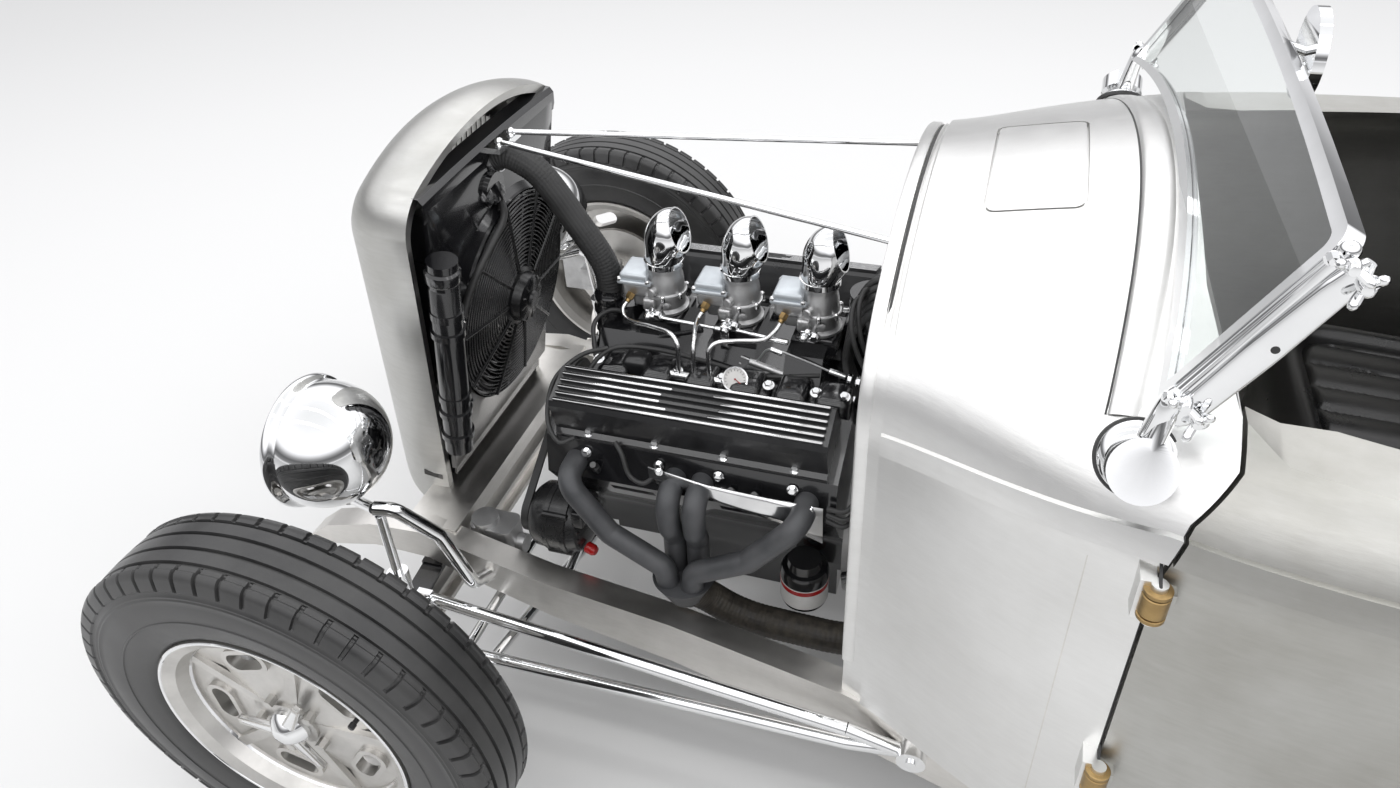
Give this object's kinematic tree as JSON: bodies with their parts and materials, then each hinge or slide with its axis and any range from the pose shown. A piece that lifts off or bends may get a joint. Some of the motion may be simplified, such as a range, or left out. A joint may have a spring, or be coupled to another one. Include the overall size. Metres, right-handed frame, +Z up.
{
  "type": "street rod roadster",
  "caption": "Open two-seat street rod roadster in bare steel with an exposed V8, open front wheels, raked windscreen, hinged doors and deck lid.",
  "frame": {"origin": "middle of the car's footprint at floor level, under the wheels", "axes": "+X to the car's left, -Y to its front, +Z up"},
  "size_m": [1.715, 3.6569, 1.326],
  "materials": {
    "steel_body": "satin bare sheet, brushed",
    "steel_frame": "bare ground steel",
    "chrome": "polished",
    "black_paint": "gloss black",
    "black_crinkle": "satin black",
    "header_coat": "matt ceramic coat",
    "cast_alloy": "cast, satin",
    "machined_alloy": "machined bright",
    "tyre": "matt",
    "rubber": "matt",
    "leather": "satin",
    "glass": "clear",
    "tail_glass": "gloss",
    "filter_white": "gloss"
  },
  "bodies": {
    "chassis": {"rail_left": "steel_frame", "rail_right": "steel_frame", "crossmembers": "steel_frame", "floor": "steel_body", "front_axle": "steel_frame", "front_spring": "black_paint", "steering_gear": "cast_alloy", "radius_rods": "chrome", "track_bar": "chrome", "rear_axle": "black_paint", "engine": "black_paint", "valve_covers": "black_crinkle", "intake_manifold": "black_paint", "carburettors": "cast_alloy", "air_scoops": "chrome", "fuel_lines": "chrome", "exhaust": "header_coat", "alternator": "black_paint", "belt_drive": "rubber", "oil_filter": "filter_white", "gearbox": "cast_alloy", "rear_suspension": "steel_frame", "front_shocks": "chrome", "radiator_shell": "steel_body", "grille": "steel_body", "radiator": "black_paint", "top_hose": "rubber", "cooling_fan": "black_paint", "overflow_tank": "black_paint", "stay_rods": "chrome", "headlamps": "chrome", "headlamp_lenses": "glass", "steering_column": "black_paint", "dashboard": "steel_body", "windscreen_frame": "chrome", "windscreen_glass": "glass", "seat_base": "leather", "seat_back": "leather", "fuel_tank": "black_paint", "tail_lamps": "tail_glass", "cowl": "steel_body", "body_tub": "steel_body"},
    "knuckle_left": {"knuckle_left": "cast_alloy"},
    "knuckle_right": {"knuckle_right": "cast_alloy"},
    "wheel_front_left": {"wheel_front_left": "machined_alloy", "tyre_front_left": "tyre"},
    "wheel_front_right": {"wheel_front_right": "machined_alloy", "tyre_front_right": "tyre"},
    "wheel_rear_left": {"wheel_rear_left": "machined_alloy", "tyre_rear_left": "tyre"},
    "wheel_rear_right": {"wheel_rear_right": "machined_alloy", "tyre_rear_right": "tyre"},
    "tie_rod": {"tie_rod": "chrome"},
    "drag_link": {"drag_link": "chrome"},
    "pitman_arm": {"pitman_arm": "steel_frame"},
    "door_left": {"door_left": "steel_body"},
    "door_right": {"door_right": "steel_body"},
    "deck_lid": {"deck_lid": "steel_body"}
  },
  "joints": [
    {"name": "steer_left", "type": "hinge", "parent": "chassis", "child": "knuckle_left", "pos_m": [0.599, -1.4635, 0.365], "axis": [0, 0, 1], "range_deg": [-27, 27]},
    {"name": "steer_right", "type": "hinge", "parent": "chassis", "child": "knuckle_right", "pos_m": [-0.599, -1.4635, 0.365], "axis": [0, 0, 1], "range_deg": [-27, 27]},
    {"name": "tie_rod_pivot", "type": "hinge", "parent": "knuckle_left", "child": "tie_rod", "pos_m": [0.599, -1.3235, 0.256], "axis": [0, 0, 1], "range_deg": [-27, 27]},
    {"name": "pitman_turn", "type": "hinge", "parent": "chassis", "child": "pitman_arm", "pos_m": [0.262, -1.3735, 0.31], "axis": [0, 0, 1], "range_deg": [-27, 27]},
    {"name": "drag_link_pivot", "type": "hinge", "parent": "pitman_arm", "child": "drag_link", "pos_m": [0.262, -1.2335, 0.214], "axis": [0, 0, 1], "range_deg": [-27, 27]},
    {"name": "spin_front_left", "type": "hinge", "parent": "knuckle_left", "child": "wheel_front_left", "pos_m": [0.711, -1.4635, 0.365], "axis": [1, 0, 0], "continuous": true},
    {"name": "spin_front_right", "type": "hinge", "parent": "knuckle_right", "child": "wheel_front_right", "pos_m": [-0.711, -1.4635, 0.365], "axis": [1, 0, 0], "continuous": true},
    {"name": "spin_rear_left", "type": "hinge", "parent": "chassis", "child": "wheel_rear_left", "pos_m": [0.755, 1.2285, 0.395], "axis": [1, 0, 0], "continuous": true},
    {"name": "spin_rear_right", "type": "hinge", "parent": "chassis", "child": "wheel_rear_right", "pos_m": [-0.755, 1.2285, 0.395], "axis": [1, 0, 0], "continuous": true},
    {"name": "door_left_hinge", "type": "hinge", "parent": "chassis", "child": "door_left", "pos_m": [0.606, -0.286, 0.7], "axis": [0, 0, -1], "range_deg": [0, 65]},
    {"name": "door_right_hinge", "type": "hinge", "parent": "chassis", "child": "door_right", "pos_m": [-0.606, -0.286, 0.7], "axis": [0, 0, 1], "range_deg": [0, 65]},
    {"name": "deck_lid_hinge", "type": "hinge", "parent": "chassis", "child": "deck_lid", "pos_m": [0, 0.7965, 1.087], "axis": [1, 0, 0], "range_deg": [0, 50]}
  ],
  "couplings": [
    {"joint": "steer_right", "follows": "steer_left", "ratio": 1},
    {"joint": "tie_rod_pivot", "follows": "steer_left", "ratio": -1},
    {"joint": "pitman_turn", "follows": "steer_left", "ratio": 1},
    {"joint": "drag_link_pivot", "follows": "steer_left", "ratio": -1}
  ]
}
